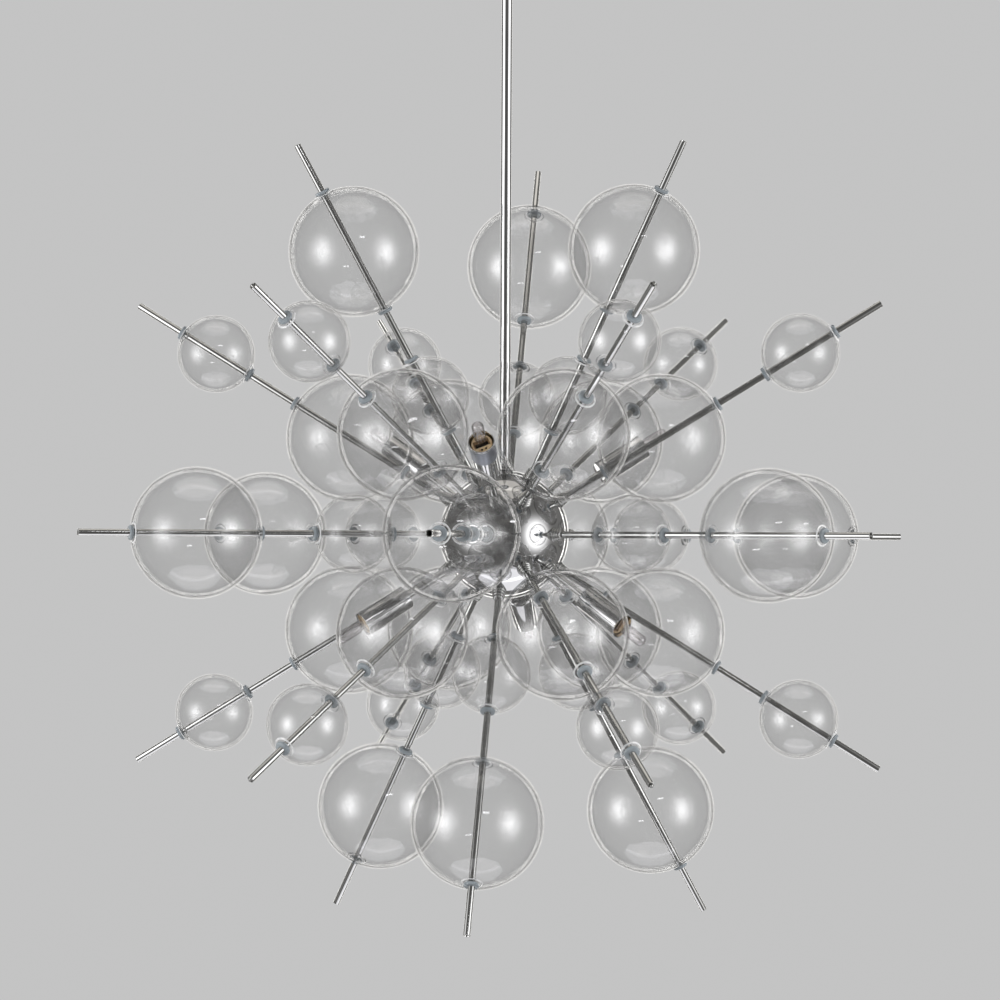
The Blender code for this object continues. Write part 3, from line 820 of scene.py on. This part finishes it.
def dress_rods():
    """Rod, nut, four stoppers and two globes for each rod."""
    rod = rod_mesh()
    nut = nut_mesh()
    stopper = stopper_mesh()
    small = globe_mesh("small_globe", SMALL_GLOBE_RADIUS, SMALL_GLOBE_BANDS, SMALL_GLOBE_SIDES)
    large = globe_mesh("large_globe", LARGE_GLOBE_RADIUS, LARGE_GLOBE_BANDS, LARGE_GLOBE_SIDES)
    for ring, elevation, azimuths, small_inside in rings():
        starts = SMALL_INSIDE_STARTS if small_inside else LARGE_INSIDE_STARTS
        small_at, large_at = (starts[0], starts[2]) if small_inside else (starts[2], starts[0])
        for number, azimuth in enumerate(azimuths, start=1):
            key = f"{ring}_{number}"
            node = f"globe_rod_{key}"
            place = along(azimuth, elevation)
            piece(f"rod_{key}", rod, place, "pendant", "rod_chrome", node)
            piece(f"root_nut_{key}", nut, place, "pendant", "rod_chrome", node)
            for index, start in enumerate(starts, start=1):
                there = place @ shifted(start)
                piece(f"stopper_{key}_{index}", stopper, there, "pendant", "silicone", node)
            there = place @ shifted(globe_middle(small_at, SMALL_GLOBE_RADIUS))
            piece(f"small_globe_{key}", small, there, "pendant", "clear_glass", node)
            there = place @ shifted(globe_middle(large_at, LARGE_GLOBE_RADIUS))
            piece(f"clear_globe_{key}", large, there, "pendant", "clear_glass", f"large_globe_{key}")


# Lamps


def cup_mesh():
    """Turned cup with a rounded foot and mouth."""
    inner = CUP_RADIUS - CUP_WALL
    corners = [
        (CUP_BORE, CUP_BASE, False),
        (CUP_RADIUS - CUP_FOOT_INSET, CUP_BASE, True),
        (CUP_RADIUS, CUP_BASE + CUP_FOOT_HEIGHT, True),
        (CUP_RADIUS, CUP_MOUTH, True),
        (inner, CUP_MOUTH, True),
        (inner, CUP_BASE + CUP_BASE_THICKNESS, False),
        (CUP_BORE, CUP_BASE + CUP_BASE_THICKNESS, False),
    ]
    outline = rounded(corners, CUP_ROUNDING)
    return template("lamp_cup", turned(outline, CUP_SIDES, closed=True), LAMP_CHROME, sharp=35)


def holder_mesh():
    """Ceramic socket: a disc with a raised edge, a stepped slot for the bulb's foot and two small holes."""
    face = CERAMIC_FACE - CERAMIC_RIM_HEIGHT
    rim_inside = CERAMIC_RADIUS - CERAMIC_RIM_WIDTH
    corners = [
        (0, CERAMIC_FACE - CERAMIC_LENGTH, False),
        (CERAMIC_RADIUS, CERAMIC_FACE - CERAMIC_LENGTH, True),
        (CERAMIC_RADIUS, CERAMIC_FACE, True),
        (rim_inside, CERAMIC_FACE, True),
        (rim_inside - CERAMIC_RIM_LEAN, face, True),
        (0, face, False),
    ]
    mesh = template("holder", turned(rounded(corners, CERAMIC_ROUNDING), CERAMIC_SIDES), CERAMIC, sharp=40)
    step = block(SLOT_STEP_SIZE, (0, SLOT_STEP_OFFSET, face), SLOT_STEP_ROUNDING)
    slot = block(SLOT_SIZE, (0, 0, face), SLOT_ROUNDING)
    # The step's floor takes the darker ceramic, painted shade; the slot and the holes take near-black
    # painted shade
    cutters = [(step, CERAMIC_PAINTED_SHADE), (slot, CAVITY_SHADE)]
    low = face - SOCKET_HOLE_DEPTH
    high = face + CUTTER_REACH
    across, along_face = SOCKET_HOLE_PLACE
    for side in (-1, 1):
        outline = [(0, low), (SOCKET_HOLE_RADIUS, low), (SOCKET_HOLE_RADIUS, high), (0, high)]
        hole = turned(outline, SOCKET_HOLE_SIDES)
        bmesh.ops.translate(hole, vec=(side * across, along_face, 0), verts=hole.verts)
        # Each hole is lined with near-black painted shade
        cutters.append((hole, CAVITY_SHADE))
    return carved(mesh, *cutters)


def capsule_mesh():
    """Clear capsule with a flat foot, a sealed pip at its tip, and its hollow."""
    foot = block(BULB_FOOT_SIZE, (0, 0, BULB_FOOT_MIDDLE), BULB_FOOT_ROUNDING)
    outline = bowl(BULB_BASE, BULB_RADIUS, BULB_BOWL_HEIGHT, BULB_BOWL_STEPS)
    outline += dome(BULB_DOME_START, BULB_RADIUS, BULB_DOME_HEIGHT, BULB_DOME_STEPS, BULB_PIP_RADIUS)
    outline += [(BULB_PIP_TOP_RADIUS, BULB_TIP - BULB_PIP_ROUNDING), (0, BULB_TIP)]
    inner = BULB_RADIUS - BULB_WALL
    hollow = bowl(HOLLOW_START, inner, HOLLOW_BOWL_HEIGHT, HOLLOW_BOWL_STEPS)
    hollow += dome(BULB_DOME_START, inner, HOLLOW_DOME_HEIGHT, HOLLOW_DOME_STEPS)
    inside = turned(hollow, BULB_SIDES)
    for face in inside.faces:
        face.normal_flip()
    return template("capsule", merged(foot, turned(outline, BULB_SIDES), inside), BULB_GLASS, sharp=60)


def wires_mesh():
    """Wires in a bulb: two leads with a coil on each, and a support with a hook."""
    lead_top = BULB_BASE + LEAD_HEIGHT
    coil_steps = COIL_TURNS * COIL_STEPS_PER_TURN
    parts = []
    for side in (-1, 1):
        lead = [
            (side * LEAD_ACROSS, 0, WIRES_START),
            (side * LEAD_ACROSS, 0, HOLLOW_START),
            (side * LEAD_TOP_ACROSS, 0, lead_top),
        ]
        parts.append(tube(lead, LEAD_RADIUS, WIRE_SIDES))
        coil = []
        for step in range(coil_steps + 1):
            part = step / coil_steps
            angle = math.tau * COIL_TURNS * part
            across = side * (LEAD_TOP_ACROSS - COIL_LEANS_IN * part)
            middle = Vector((across, 0, lead_top + (COIL_TOP - lead_top) * part))
            coil.append(middle + Vector((math.cos(angle), math.sin(angle), 0)) * COIL_RADIUS)
        parts.append(tube(coil, COIL_WIRE_RADIUS, COIL_WIRE_SIDES))
    support = [(0, 0, WIRES_START)] + [(across, 0, COIL_TOP + up) for across, up in SUPPORT_HOOK]
    parts.append(tube(support, SUPPORT_RADIUS, WIRE_SIDES))
    return template("bulb_wires", merged(*parts), WIRE)


def stem_mesh():
    """Short plain rod that carries a lamp."""
    outline = [(0, ROD_START), (ROD_RADIUS, ROD_START), (ROD_RADIUS, STEM_END), (0, STEM_END)]
    return template("stem", turned(outline, ROD_SIDES), ROD_CHROME)


def sleeve_mesh():
    """Thin bare sleeve round a cup, just under its mouth."""
    outside = CUP_RADIUS + SLEEVE_WALL
    top = CUP_MOUTH - SLEEVE_FROM_MOUTH
    low = top - SLEEVE_LENGTH
    outline = [(CUP_RADIUS, low), (outside, low), (outside, top), (CUP_RADIUS, top)]
    return template("sleeve", turned(outline, CUP_SIDES, closed=True), SATIN_SLEEVE, sharp=40)


def dress_lamps():
    """Stem, nut, cup, socket and bulb for each lamp, by turns above and below the level rods."""
    stem = stem_mesh()
    nut = nut_mesh()
    cup = cup_mesh()
    holder = holder_mesh()
    capsule = capsule_mesh()
    wires = wires_mesh()
    for index, twist in enumerate(LAMP_TWISTS):
        side = "upper" if index % 2 == 0 else "lower"
        key = f"{side}_{index // 2 + 1}"
        node = f"lamp_{key}"
        elevation = LAMP_ELEVATION if side == "upper" else -LAMP_ELEVATION
        turn = Matrix.Rotation(math.radians(twist), 4, "Z")
        place = along(FIRST_AZIMUTH + AZIMUTH_STEP * index, elevation) @ turn
        piece(f"lamp_stem_{key}", stem, place, "pendant", "lamp_chrome", node)
        piece(f"lamp_nut_{key}", nut, place, "pendant", "lamp_chrome", node)
        piece(f"lamp_cup_{key}", cup, place, "pendant", "lamp_chrome", node)
        piece(f"lamp_socket_{key}", holder, place, "pendant", "ceramic", node)
        piece(f"bulb_capsule_{key}", capsule, place, "pendant", "bulb_glass", node)
        piece(f"bulb_wires_{key}", wires, place, "pendant", "bulb_wire", node)
        if key == SLEEVED_LAMP:
            piece(f"lamp_sleeve_{key}", sleeve_mesh(), place, "pendant", "lamp_chrome", node)


# Ball, downrod and canopy


def dress_ball():
    """A thin shell with the hole for the downrod's stud at the top."""
    inside = BALL_RADIUS - BALL_WALL
    outline = arc(BALL_RADIUS, math.asin(BALL_HOLE_RADIUS / BALL_RADIUS), math.pi, BALL_BANDS)
    outline[-1] = (0, -BALL_RADIUS)
    shell = turned(outline, BALL_SIDES)
    lining = arc(inside, math.pi, math.asin(BALL_HOLE_RADIUS / inside), LINING_BANDS)
    lining[0] = (0, -inside)
    inner = turned(lining, LINING_SIDES)
    for face in inner.faces:
        if face.normal.dot(face.calc_center_median()) > 0:
            face.normal_flip()
    mesh = template("hub_shell", merged(shell, inner), CHROME, sharp=60)
    piece("hub_shell", mesh, Matrix.Translation(BALL_CENTRE), "pendant", "chrome", "hub_ball")


def fork_mesh():
    """Lower fork of the swivel: a bridge with two ears, bored for the pin."""
    bridge = block(FORK_BRIDGE_SIZE, (0, 0, FORK_BRIDGE_HEIGHT), FORK_ROUNDING)
    ears = []
    for side in (-1, 1):
        ears.append(block(FORK_EAR_SIZE, (0, side * FORK_EAR_ACROSS, FORK_EAR_HEIGHT), FORK_ROUNDING))
    mesh = template("fork", merged(bridge, *ears), CHROME, sharp=40)
    outline = [
        (0, -PIN_BORE_REACH),
        (PIN_BORE_RADIUS, -PIN_BORE_REACH),
        (PIN_BORE_RADIUS, PIN_BORE_REACH),
        (0, PIN_BORE_REACH),
    ]
    bore = turned(outline, PIN_BORE_SIDES)
    turn = Matrix.Rotation(math.pi / 2, 3, "X")
    bmesh.ops.rotate(bore, cent=(0, 0, 0), matrix=turn, verts=bore.verts)
    return carved(mesh, (bore, CHROME))


def dress_downrod():
    """The tube, the collar over the ball's hole, and the fork in the canopy."""
    foot = BALL_CENTRE.z - PIVOT_Z + BALL_RADIUS
    low = foot - DOWNROD_INTO_BALL
    outline = [(0, low), (DOWNROD_RADIUS, low), (DOWNROD_RADIUS, DOWNROD_TOP), (0, DOWNROD_TOP)]
    place = Matrix.Translation((0, 0, PIVOT_Z))
    tube_mesh = template("downrod_tube", turned(outline, DOWNROD_SIDES), CHROME)
    piece("downrod_tube", tube_mesh, place, "pendant", "chrome", "downrod")
    low = foot - COLLAR_INTO_BALL
    high = foot + COLLAR_LENGTH
    stack = ring_stack(low, high, COLLAR_RADIUS, COLLAR_TOP_RADIUS, COLLAR_RINGS)
    outline = [(DOWNROD_RADIUS, low)] + stack + [(DOWNROD_RADIUS, high)]
    collar = template("downrod_collar", turned(outline, DOWNROD_SIDES, closed=True), CHROME)
    piece("downrod_collar", collar, place, "pendant", "chrome", "downrod")
    piece("downrod_fork", fork_mesh(), place, "pendant", "chrome", "downrod")


def canopy_side(radius, depth, opening):
    """One side of the canopy's section, from the skirt down to the opening."""
    points = []
    for band in range(CANOPY_BANDS + 1):
        angle = math.pi / 2 * band / CANOPY_BANDS
        across = opening + (radius - opening) * math.cos(angle)
        points.append((across, -CANOPY_SKIRT - (depth - CANOPY_SKIRT) * math.sin(angle)))
    return points


def dress_canopy():
    """Spun bell with a rolled rim at the ceiling and a rolled edge at the opening, and its two screws."""
    within = CANOPY_RADIUS - CANOPY_WALL
    below_rim = CANOPY_RADIUS - CANOPY_RIM_PROUD
    outer = [(CANOPY_RADIUS + across, CANOPY_TOP + up) for across, up in CANOPY_RIM_ROLL]
    outer += canopy_side(below_rim, CANOPY_DEPTH, CANOPY_OPENING + CANOPY_EDGE_WIDTH)
    outer += [(CANOPY_OPENING + across, -CANOPY_DEPTH + up) for across, up in CANOPY_EDGE_ROLL]
    inner = [(within, CANOPY_TOP)]
    inner += canopy_side(within, CANOPY_DEPTH - CANOPY_WALL, CANOPY_OPENING + CANOPY_EDGE_INSIDE)
    bell = turned(outer + inner[::-1], CANOPY_SIDES, closed=True)
    mesh = template("canopy_bell", bell, CHROME, sharp=40)
    piece("canopy_bell", mesh, Matrix.Identity(4), "ceiling_fixing", "chrome", "canopy")
    outline = rounded(SCREW_OUTLINE, SCREW_ROUNDING, 4)
    screw = template("side_screw", turned(outline, SCREW_SIDES), CHROME, sharp=40)
    for number, side in enumerate((-1, 1), start=1):
        turn = Matrix.Rotation(side * math.pi / 2, 4, "Y")
        place = Matrix.Translation((side * SCREW_ACROSS, 0, SCREW_HEIGHT)) @ turn
        piece(f"side_screw_{number}", screw, place, "ceiling_fixing", "chrome", "canopy")


def finish_carried_nodes():
    """The crossbar, the yoke and the cross stay as solids, with rounded edges and zinc plating."""
    for name in CARRIED_NODES:
        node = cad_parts[name]
        soft = node.modifiers.new("soft_edges", "BEVEL")
        soft.width = CARRIED_EDGE
        soft.segments = CARRIED_EDGE_SEGMENTS
        soft.limit_method = "ANGLE"
        soft.angle_limit = CARRIED_EDGE_ANGLE
        for material_slot in node.material_slots:
            material_slot.material = ZINC


# Room


def soft_edge(tree, value, outside, inside):
    """0 up to the first number, 1 past the second, smooth between."""
    made = tree.nodes.new("ShaderNodeMapRange")
    made.interpolation_type = "SMOOTHSTEP"
    made.inputs["From Min"].default_value = outside
    made.inputs["From Max"].default_value = inside
    tree.links.new(value, made.inputs["Value"])
    return made.outputs["Result"]


def dot(tree, direction, axis):
    made = tree.nodes.new("ShaderNodeVectorMath")
    made.operation = "DOT_PRODUCT"
    made.inputs[1].default_value = axis
    tree.links.new(direction, made.inputs[0])
    return made.outputs["Value"]


def tinted(tree, value, colour):
    """A colour made brighter by a value."""
    made = tree.nodes.new("ShaderNodeVectorMath")
    made.operation = "SCALE"
    made.inputs[0].default_value = colour
    tree.links.new(value, made.inputs["Scale"])
    return made.outputs["Vector"]


def total(tree, *colours):
    whole = colours[0]
    for colour in colours[1:]:
        made = tree.nodes.new("ShaderNodeVectorMath")
        made.operation = "ADD"
        tree.links.new(whole, made.inputs[0])
        tree.links.new(colour, made.inputs[1])
        whole = made.outputs["Vector"]
    return whole


def side_light(tree, direction, side):
    """A round soft light to the left or right of the camera: 1 in its middle."""
    angle = math.radians(SIDE_LIGHT_AZIMUTH)
    towards = dot(tree, direction, (side * math.sin(angle), -math.cos(angle), 0.0))
    return maths(tree, "POWER", maths(tree, "MAXIMUM", towards, 0.0), SIDE_LIGHT_SHARPNESS)


def strip_light(tree, direction):
    """A short level strip beside the camera: 1 inside."""
    azimuth, elevation = (math.radians(angle) for angle in STRIP_LIGHT_PLACE)
    level = Vector((math.cos(azimuth), math.sin(azimuth), 0))
    ahead = Vector((math.sin(azimuth), -math.cos(azimuth), 0))
    towards = ahead * math.cos(elevation) + Vector((0, 0, math.sin(elevation)))
    inside = maths(tree, "GREATER_THAN", dot(tree, direction, towards), 0.0)
    for axis, half in zip((level, level.cross(towards)), STRIP_LIGHT_HALF_SIZE):
        away = maths(tree, "ABSOLUTE", dot(tree, direction, axis))
        inside = maths(tree, "MULTIPLY", inside, soft_edge(tree, away, half * STRIP_LIGHT_FADE, half))
    return inside


def eight_sided_light(tree, across, deep, up, side, edge):
    """A flat softbox with eight sides and a brighter tube across it, straight above or below."""
    height = maths(tree, "MAXIMUM", maths(tree, "MULTIPLY", up, side), LEAST_HEIGHT)
    wide = maths(tree, "DIVIDE", maths(tree, "ABSOLUTE", across), height)
    long = maths(tree, "DIVIDE", maths(tree, "ABSOLUTE", deep), height)
    corner = maths(tree, "MULTIPLY", maths(tree, "ADD", wide, long), math.sqrt(0.5))
    reach = maths(tree, "MAXIMUM", maths(tree, "MAXIMUM", wide, long), corner)
    limit = math.tan(math.radians(edge))
    inside = soft_edge(tree, reach, limit * EIGHT_SIDED_LIGHT_FADE, limit)
    tube_end = EIGHT_SIDED_LIGHT_TUBE * EIGHT_SIDED_LIGHT_TUBE_FADE
    in_tube = soft_edge(tree, long, tube_end, EIGHT_SIDED_LIGHT_TUBE)
    glow = maths(tree, "MULTIPLY_ADD", in_tube, EIGHT_SIDED_LIGHT_TUBE_GLOW, 1.0)
    return maths(tree, "MULTIPLY", inside, glow)


def studio_world():
    """Pale where it is seen, and in reflections a dark room with its lights."""
    world = bpy.data.worlds.new("studio")
    world.use_nodes = True
    bpy.context.scene.world = world
    tree = world.node_tree
    place = tree.nodes.new("ShaderNodeTexCoord")
    direction = place.outputs["Generated"]
    split = tree.nodes.new("ShaderNodeSeparateXYZ")
    tree.links.new(direction, split.inputs["Vector"])
    across, deep, up = (split.outputs[axis] for axis in "XYZ")

    tone = ramp(tree, maths(tree, "MULTIPLY_ADD", deep, 0.5, 0.5), ROOM_TONE_SHARES)
    room = maths(tree, "MULTIPLY", tone, ROOM_BRIGHTEST)
    sides = maths(tree, "ADD", side_light(tree, direction, -1), side_light(tree, direction, 1))
    mirrored = tree.nodes.new("ShaderNodeBackground")
    above = eight_sided_light(tree, across, deep, up, 1, LIGHT_ABOVE_EDGE)
    below = eight_sided_light(tree, across, deep, up, -1, LIGHT_BELOW_EDGE)
    lights = total(
        tree,
        tinted(tree, room, ROOM_COLOUR),
        tinted(tree, sides, SIDE_LIGHT_COLOUR),
        tinted(tree, strip_light(tree, direction), STRIP_LIGHT_COLOUR),
        tinted(tree, above, LIGHT_ABOVE_COLOUR),
        tinted(tree, below, LIGHT_BELOW_COLOUR),
    )
    tree.links.new(lights, mirrored.inputs["Color"])
    seen = tree.nodes["Background"]
    seen.inputs["Color"].default_value = (WORLD_SEEN, WORLD_SEEN, WORLD_SEEN, 1.0)
    lighting = tree.nodes.new("ShaderNodeBackground")
    lighting.inputs["Color"].default_value = (1.0, 1.0, 1.0, 1.0)
    lighting.inputs["Strength"].default_value = WORLD_LIGHTING

    path = tree.nodes.new("ShaderNodeLightPath")
    reflected = maths(tree, "MAXIMUM", path.outputs["Is Glossy Ray"], path.outputs["Is Transmission Ray"])
    first = tree.nodes.new("ShaderNodeMixShader")
    second = tree.nodes.new("ShaderNodeMixShader")
    tree.links.new(reflected, first.inputs["Fac"])
    tree.links.new(lighting.outputs["Background"], first.inputs[1])
    tree.links.new(mirrored.outputs["Background"], first.inputs[2])
    tree.links.new(path.outputs["Is Camera Ray"], second.inputs["Fac"])
    tree.links.new(first.outputs["Shader"], second.inputs[1])
    tree.links.new(seen.outputs["Background"], second.inputs[2])
    tree.links.new(second.outputs["Shader"], tree.nodes["World Output"].inputs["Surface"])


def studio():
    """The world, the lamps, the floor and the bounces of light."""
    studio_world()
    for values in SOFTBOXES:
        softbox(*values)
    floor()
    scene = bpy.context.scene
    scene.view_settings.view_transform = "Standard"
    scene.cycles.max_bounces = MAX_BOUNCES
    scene.cycles.transparent_max_bounces = CLEAR_BOUNCES
    scene.cycles.glossy_bounces = GLOSSY_BOUNCES
    scene.cycles.transmission_bounces = TRANSMISSION_BOUNCES


def softbox(name, azimuth, height, size, power):
    """A lamp for the matt surfaces; in reflections the world shows the lights."""
    lamp = bpy.data.lights.new(name, "AREA")
    lamp.shape = "RECTANGLE"
    lamp.size, lamp.size_y = size
    lamp.energy = power
    made = bpy.data.objects.new(name, lamp)
    bpy.context.collection.objects.link(made)
    angle = math.radians(azimuth)
    made.location = (SOFTBOX_DISTANCE * math.sin(angle), -SOFTBOX_DISTANCE * math.cos(angle), height)
    made.rotation_euler = (Vector((0, 0, height)) - made.location).to_track_quat("-Z", "Y").to_euler()
    made.visible_camera = False
    made.visible_glossy = False
    made.visible_transmission = False


def floor_material():
    """Pale and matt, clear from below, and clearer towards its edge."""
    made, tree = material("pale_floor")
    shader = tree.nodes["Principled BSDF"]
    cloud = noise(tree, FLOOR_NOISE_SCALE)
    low, high = FLOOR_TONES
    tree.links.new(ramp(tree, cloud, ((0.3, low), (0.7, high))), shader.inputs["Base Color"])
    shader.inputs["Roughness"].default_value = FLOOR_ROUGHNESS
    clear = tree.nodes.new("ShaderNodeBsdfTransparent")
    mix = tree.nodes.new("ShaderNodeMixShader")
    place = tree.nodes.new("ShaderNodeNewGeometry")
    length = tree.nodes.new("ShaderNodeVectorMath")
    length.operation = "LENGTH"
    tree.links.new(place.outputs["Position"], length.inputs[0])
    fade = spread(tree, length.outputs["Value"], 0.0, 1.0, FLOOR_FADES_FROM, FLOOR_RADIUS)
    unseen = maths(tree, "MAXIMUM", fade, place.outputs["Backfacing"])
    tree.links.new(unseen, mix.inputs["Fac"])
    tree.links.new(shader.outputs["BSDF"], mix.inputs[1])
    tree.links.new(clear.outputs["BSDF"], mix.inputs[2])
    tree.links.new(mix.outputs["Shader"], tree.nodes["Material Output"].inputs["Surface"])
    return made


def floor():
    """A round pale floor, seen from above only, that fades into the background."""
    work = bmesh.new()
    bmesh.ops.create_circle(work, cap_ends=True, segments=FLOOR_SIDES, radius=FLOOR_RADIUS)
    bmesh.ops.translate(work, vec=(0, 0, FLOOR_HEIGHT), verts=work.verts)
    for face in work.faces:
        if face.normal.z < 0:
            face.normal_flip()
    mesh = bpy.data.meshes.new("floor")
    work.to_mesh(mesh)
    work.free()
    mesh.materials.append(floor_material())
    made = bpy.data.objects.new("floor", mesh)
    bpy.context.collection.objects.link(made)
    made.visible_glossy = False


def camera():
    """Stands in front of the ball, a little below it, and keeps its view level."""
    data = bpy.data.cameras.new("camera")
    data.lens = LENS
    data.sensor_width = SENSOR_WIDTH
    data.shift_x, data.shift_y = SHIFT
    data.clip_end = VIEW_REACH
    made = bpy.data.objects.new("camera", data)
    bpy.context.collection.objects.link(made)
    level = Matrix.Rotation(math.pi / 2, 4, "X")
    roll = Matrix.Rotation(CAMERA_ROLL, 4, "Z")
    place = Matrix.Translation((0, -CAMERA_DISTANCE, BALL_CENTRE.z - CAMERA_BELOW_BALL))
    made.matrix_world = place @ level @ roll
    bpy.context.scene.camera = made


dress_rods()
dress_lamps()
dress_ball()
dress_downrod()
dress_canopy()
finish_carried_nodes()
studio()
camera()
